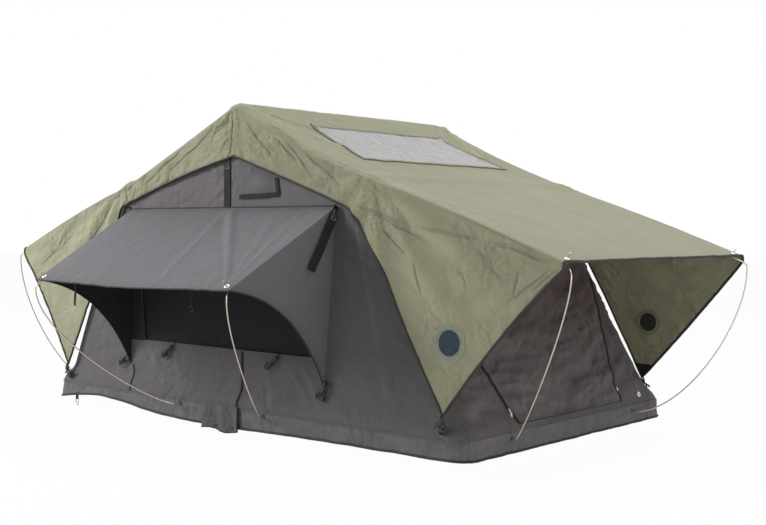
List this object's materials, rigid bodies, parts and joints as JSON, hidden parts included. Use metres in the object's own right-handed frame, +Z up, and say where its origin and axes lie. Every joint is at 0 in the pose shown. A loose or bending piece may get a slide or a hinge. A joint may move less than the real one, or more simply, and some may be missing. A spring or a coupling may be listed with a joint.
{
  "type": "roof top tent",
  "caption": "Fold-out soft roof top tent shown open: hinged base halves, fan-folding hoops, canvas body, rain fly on spring rods and a window awning, on slotted rails.",
  "frame": {"origin": "centre of the slotted mounting pattern, on the underside of the two mounting rails", "axes": "+X along the tent from the fixed half towards the folding half, +Y across it away from the awning, +Z up"},
  "size_m": [3.1584, 1.861, 1.3342],
  "materials": {
    "rail_alloy": "mill-finished extruded aluminium",
    "steel": "zinc-plated steel",
    "panel_skin": "thin aluminium skin over a foam core",
    "mattress_cover": "woven cotton cover over foam",
    "skirt_cloth": "coated canvas with black piping",
    "black_plastic": "moulded black nylon",
    "elastic": "black elastic loop and moulded clip",
    "hoop_tube": "drawn aluminium tube",
    "body_canvas": "grey ripstop canvas",
    "insect_mesh": "fine black insect mesh",
    "awning_canvas": "light grey ripstop canvas",
    "webbing": "black webbing and zip tape",
    "fly_cloth": "sage green coated polyester with black piping",
    "clear_sheet": "translucent flexible sheet",
    "eyelet_metal": "nickel-plated eyelet",
    "rod_steel": "bare spring steel rod"
  },
  "bodies": {
    "fixed": {"mounting_rails": "rail_alloy", "rail_screws": "steel", "fixed_board": "panel_skin", "fixed_frame": "rail_alloy", "fixed_mattress": "mattress_cover", "fixed_skirt": "skirt_cloth", "near_hinge_flap": "skirt_cloth", "far_hinge_flap": "skirt_cloth", "fixed_hinge_plates": "rail_alloy", "hinge_pins": "steel", "hinge_spacers": "black_plastic", "fixed_rod_sockets": "black_plastic", "fixed_hold_downs": "elastic", "near_wall": "body_canvas", "far_wall": "body_canvas", "window_mesh": "insect_mesh", "far_window_cover": "awning_canvas", "gable_straps": "webbing", "vent_cover": "body_canvas", "roof_canvas": "body_canvas", "fixed_end_wall": "body_canvas", "fixed_end_window": "body_canvas", "fly_roof": "fly_cloth", "fly_near_flap": "fly_cloth", "fly_far_flap": "fly_cloth", "skylight": "clear_sheet", "fly_eyelets": "eyelet_metal"},
    "flip": {"flip_board": "panel_skin", "flip_frame": "rail_alloy", "flip_mattress": "mattress_cover", "flip_skirt": "skirt_cloth", "flip_hinge_plates": "rail_alloy", "flip_rod_sockets": "black_plastic", "flip_hold_downs": "elastic", "flip_end_wall": "body_canvas", "flip_door": "body_canvas", "door_zips": "webbing"},
    "left_hoop": {"left_hoop": "hoop_tube", "left_hoop_ends": "black_plastic"},
    "ridge_hoop": {"ridge_hoop": "hoop_tube", "ridge_hoop_ends": "black_plastic"},
    "right_hoop": {"right_hoop": "hoop_tube", "right_hoop_ends": "black_plastic"},
    "awning": {"window_awning": "awning_canvas", "awning_gussets": "awning_canvas", "awning_eyelets": "eyelet_metal"},
    "near_slider": {"near_door_slider": "black_plastic"},
    "far_slider": {"far_door_slider": "black_plastic"},
    "fixed_near_rod": {"fixed_near_rod": "rod_steel"},
    "fixed_far_rod": {"fixed_far_rod": "rod_steel"},
    "flip_near_rod": {"flip_near_rod": "rod_steel"},
    "flip_far_rod": {"flip_far_rod": "rod_steel"},
    "fixed_window_rod": {"fixed_window_rod": "rod_steel"},
    "flip_window_rod": {"flip_window_rod": "rod_steel"}
  },
  "joints": [
    {"name": "base_hinge", "type": "hinge", "parent": "fixed", "child": "flip", "pos_m": [0.6, 0, 0.19], "axis": [0, -1, 0], "range_deg": [0, 179.8], "deforming": ["near_wall", "far_wall", "window_mesh", "far_window_cover", "gable_straps", "vent_cover", "roof_canvas", "fixed_end_wall", "fixed_end_window", "flip_end_wall", "flip_door", "door_zips", "fly_roof", "fly_near_flap", "fly_far_flap", "skylight", "fly_eyelets", "window_awning", "awning_gussets", "awning_eyelets"]},
    {"name": "left_hoop_swing", "type": "hinge", "parent": "fixed", "child": "left_hoop", "pos_m": [0.6, 0, 0.19], "axis": [0, -1, 0], "range_deg": [0, 49.7]},
    {"name": "ridge_hoop_swing", "type": "hinge", "parent": "fixed", "child": "ridge_hoop", "pos_m": [0.6, 0, 0.19], "axis": [0, -1, 0], "range_deg": [0, 90]},
    {"name": "right_hoop_swing", "type": "hinge", "parent": "fixed", "child": "right_hoop", "pos_m": [0.6, 0, 0.19], "axis": [0, -1, 0], "range_deg": [0, 130.4]},
    {"name": "awning_drop", "type": "hinge", "parent": "ridge_hoop", "child": "awning", "pos_m": [0.535, -0.6683, 0.88], "axis": [1, 0, 0], "range_deg": [0, 57]},
    {"name": "near_zip", "type": "slide", "parent": "flip", "child": "near_slider", "axis": [-0.4224, -0.293, 0.8577], "range_m": [0, 0.55]},
    {"name": "far_zip", "type": "slide", "parent": "flip", "child": "far_slider", "axis": [-0.4224, 0.293, 0.8577], "range_m": [0, 0.55]},
    {"name": "fixed_near_rod_pull", "type": "slide", "parent": "fixed", "child": "fixed_near_rod", "axis": [-1, 0, 0], "range_m": [0, 0.05]},
    {"name": "fixed_far_rod_pull", "type": "slide", "parent": "fixed", "child": "fixed_far_rod", "axis": [-1, 0, 0], "range_m": [0, 0.05]},
    {"name": "flip_near_rod_pull", "type": "slide", "parent": "flip", "child": "flip_near_rod", "axis": [1, 0, 0], "range_m": [0, 0.05]},
    {"name": "flip_far_rod_pull", "type": "slide", "parent": "flip", "child": "flip_far_rod", "axis": [1, 0, 0], "range_m": [0, 0.05]},
    {"name": "fixed_window_rod_pull", "type": "slide", "parent": "fixed", "child": "fixed_window_rod", "axis": [0, -1, 0], "range_m": [0, 0.05]},
    {"name": "flip_window_rod_pull", "type": "slide", "parent": "flip", "child": "flip_window_rod", "axis": [0, -1, 0], "range_m": [0, 0.05]}
  ],
  "couplings": [
    {"joint": "left_hoop_swing", "follows": "base_hinge", "ratio": 0.2761},
    {"joint": "ridge_hoop_swing", "follows": "base_hinge", "ratio": 0.5},
    {"joint": "right_hoop_swing", "follows": "base_hinge", "ratio": 0.7239}
  ]
}
